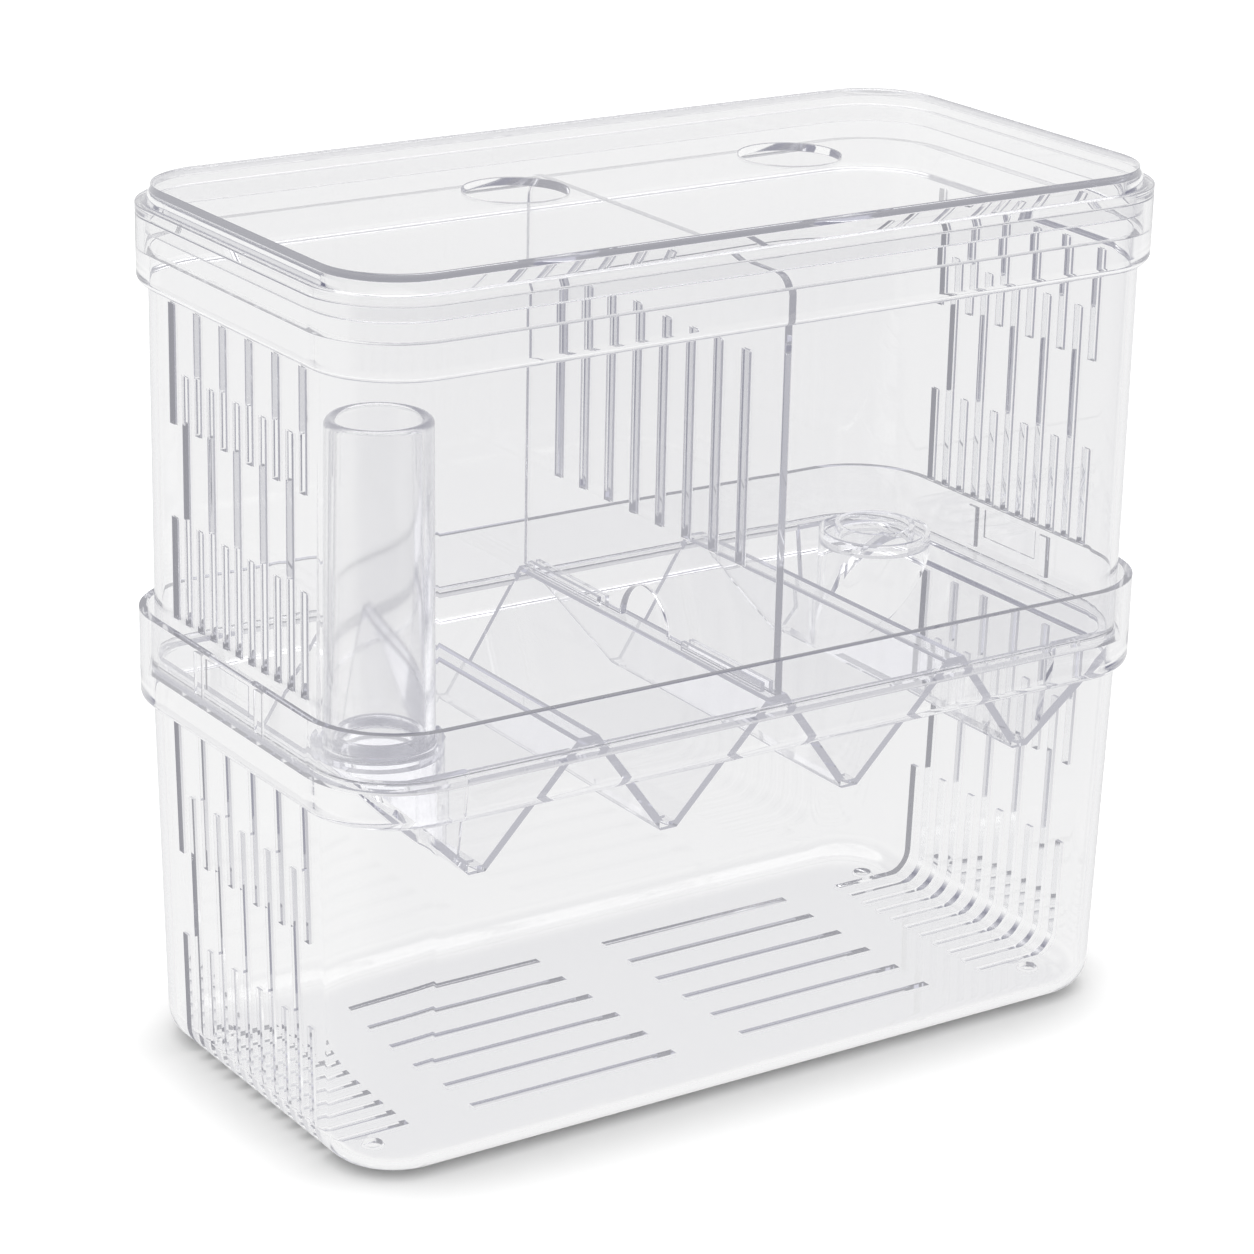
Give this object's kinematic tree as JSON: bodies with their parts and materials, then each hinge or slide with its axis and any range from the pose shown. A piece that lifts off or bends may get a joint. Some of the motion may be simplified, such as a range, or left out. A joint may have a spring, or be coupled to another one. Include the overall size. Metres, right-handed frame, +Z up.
{
  "type": "fish breeding box",
  "caption": "Stacked clear breeding box with slotted ends, a V-shaped fry tray, a slotted divider, a lift tube and a lid with round holes.",
  "frame": {"origin": "middle of the footprint, on the plane the feet stand on", "axes": "+Z up; +X along the box's length, away from the lift tube; -Y towards the long side beside the lift tube"},
  "size_m": [0.2, 0.105, 0.186],
  "materials": {
    "lower_box": "polished clear",
    "tray": "polished clear",
    "lift_tube": "polished clear",
    "upper_box": "polished clear",
    "divider": "polished clear",
    "lid": "polished clear"
  },
  "bodies": {
    "lower_box": {"lower_box": "lower_box"},
    "tray": {"tray": "tray"},
    "lift_tube": {"lift_tube": "lift_tube"},
    "upper_box": {"upper_box": "upper_box"},
    "divider": {"divider": "divider"},
    "lid": {"lid": "lid"}
  },
  "joints": [
    {"name": "tray_lift", "type": "slide", "parent": "lower_box", "child": "tray", "axis": [0, 0, 1], "range_m": [0, 0.04]},
    {"name": "upper_box_lift", "type": "slide", "parent": "tray", "child": "upper_box", "axis": [0, 0, 1], "range_m": [0, 0.095]},
    {"name": "lid_lift", "type": "slide", "parent": "upper_box", "child": "lid", "axis": [0, 0, 1], "range_m": [0, 0.03]},
    {"name": "divider_lift", "type": "slide", "parent": "tray", "child": "divider", "axis": [0, 0, 1], "range_m": [0, 0.0085]},
    {"name": "tube_lift", "type": "slide", "parent": "tray", "child": "lift_tube", "axis": [0, 0, 1], "range_m": [0, 0.03]}
  ]
}
